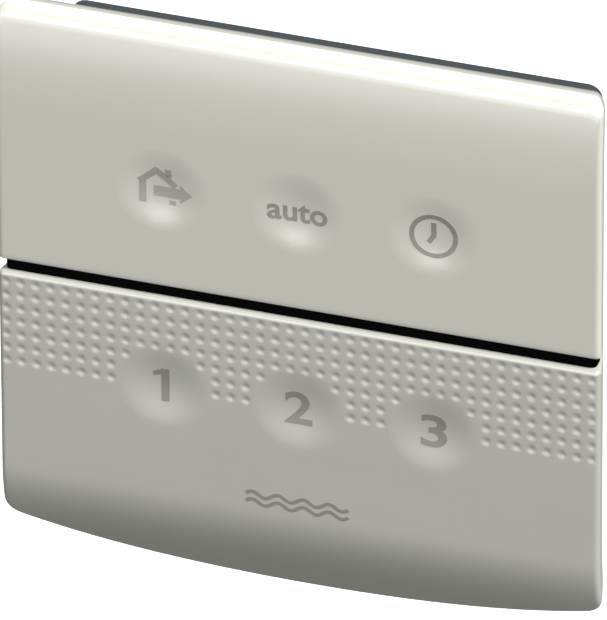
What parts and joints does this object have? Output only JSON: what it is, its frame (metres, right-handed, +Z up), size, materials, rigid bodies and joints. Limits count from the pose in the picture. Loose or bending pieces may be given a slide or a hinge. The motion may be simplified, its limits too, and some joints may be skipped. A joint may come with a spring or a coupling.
{
  "type": "ventilation remote control",
  "caption": "Wall remote control with two white covers, dished press buttons, a dimpled band and a dark wall plate.",
  "frame": {"origin": "middle of the wall plate's back face, on the wall", "axes": "+X right seen from the front, +Y into the wall, +Z up"},
  "size_m": [0.084, 0.018, 0.088],
  "materials": {
    "gloss_white": "glossy off-white moulding",
    "satin_white": "satin off-white moulding",
    "black_gloss": "glossy black",
    "black_plastic": "fine-textured black",
    "plate_grey": "dark grey, fine texture",
    "board_green": "solder mask",
    "chip_black": "moulded epoxy",
    "screw_steel": "zinc plated",
    "can_steel": "tinned sheet",
    "cell_steel": "nickel plated",
    "contact_gold": "plated spring brass",
    "switch_cream": "cream plastic or ceramic",
    "led_clear": "clear lens"
  },
  "bodies": {
    "wall_side": {"wall_plate": "plate_grey"},
    "front_unit": {"upper_cover": "gloss_white", "lower_cover": "satin_white", "centre_strip": "black_gloss", "switch_away": "chip_black", "switch_auto": "chip_black", "switch_timer": "chip_black", "switch_low": "chip_black", "switch_medium": "chip_black", "switch_high": "chip_black", "circuit_board": "board_green", "board_screw_1": "screw_steel", "board_screw_2": "screw_steel", "board_screw_3": "screw_steel", "board_screw_4": "screw_steel", "microcontroller": "chip_black", "radio_module": "can_steel", "antenna": "contact_gold", "crystal": "can_steel", "capacitor_1": "switch_cream", "capacitor_2": "switch_cream", "status_light": "led_clear", "battery_holder": "chip_black", "coin_cell": "cell_steel", "battery_contact": "contact_gold", "rear_housing": "black_plastic"},
    "press_away": {"button_away": "gloss_white"},
    "contact_away": {"plunger_away": "switch_cream"},
    "press_auto": {"button_auto": "gloss_white"},
    "contact_auto": {"plunger_auto": "switch_cream"},
    "press_timer": {"button_timer": "gloss_white"},
    "contact_timer": {"plunger_timer": "switch_cream"},
    "press_low": {"button_low": "satin_white"},
    "contact_low": {"plunger_low": "switch_cream"},
    "press_medium": {"button_medium": "satin_white"},
    "contact_medium": {"plunger_medium": "switch_cream"},
    "press_high": {"button_high": "satin_white"},
    "contact_high": {"plunger_high": "switch_cream"}
  },
  "joints": [
    {"name": "unit_pull_off", "type": "slide", "parent": "wall_side", "child": "front_unit", "axis": [0, -1, 0], "range_m": [0, 0.012]},
    {"name": "press_away", "type": "slide", "parent": "front_unit", "child": "press_away", "axis": [0, 1, 0], "range_m": [0, 0.0005], "stiffness_N_per_m": 1500, "springref_m": -0.0003},
    {"name": "contact_away", "type": "slide", "parent": "front_unit", "child": "contact_away", "axis": [0, 1, 0], "range_m": [0, 0.0005]},
    {"name": "press_auto", "type": "slide", "parent": "front_unit", "child": "press_auto", "axis": [0, 1, 0], "range_m": [0, 0.0005], "stiffness_N_per_m": 1500, "springref_m": -0.0003},
    {"name": "contact_auto", "type": "slide", "parent": "front_unit", "child": "contact_auto", "axis": [0, 1, 0], "range_m": [0, 0.0005]},
    {"name": "press_timer", "type": "slide", "parent": "front_unit", "child": "press_timer", "axis": [0, 1, 0], "range_m": [0, 0.0005], "stiffness_N_per_m": 1500, "springref_m": -0.0003},
    {"name": "contact_timer", "type": "slide", "parent": "front_unit", "child": "contact_timer", "axis": [0, 1, 0], "range_m": [0, 0.0005]},
    {"name": "press_low", "type": "slide", "parent": "front_unit", "child": "press_low", "axis": [0, 1, 0], "range_m": [0, 0.0005], "stiffness_N_per_m": 1500, "springref_m": -0.0003},
    {"name": "contact_low", "type": "slide", "parent": "front_unit", "child": "contact_low", "axis": [0, 1, 0], "range_m": [0, 0.0005]},
    {"name": "press_medium", "type": "slide", "parent": "front_unit", "child": "press_medium", "axis": [0, 1, 0], "range_m": [0, 0.0005], "stiffness_N_per_m": 1500, "springref_m": -0.0003},
    {"name": "contact_medium", "type": "slide", "parent": "front_unit", "child": "contact_medium", "axis": [0, 1, 0], "range_m": [0, 0.0005]},
    {"name": "press_high", "type": "slide", "parent": "front_unit", "child": "press_high", "axis": [0, 1, 0], "range_m": [0, 0.0005], "stiffness_N_per_m": 1500, "springref_m": -0.0003},
    {"name": "contact_high", "type": "slide", "parent": "front_unit", "child": "contact_high", "axis": [0, 1, 0], "range_m": [0, 0.0005]}
  ],
  "couplings": [
    {"joint": "contact_away", "follows": "press_away", "ratio": 1},
    {"joint": "contact_auto", "follows": "press_auto", "ratio": 1},
    {"joint": "contact_timer", "follows": "press_timer", "ratio": 1},
    {"joint": "contact_low", "follows": "press_low", "ratio": 1},
    {"joint": "contact_medium", "follows": "press_medium", "ratio": 1},
    {"joint": "contact_high", "follows": "press_high", "ratio": 1}
  ]
}
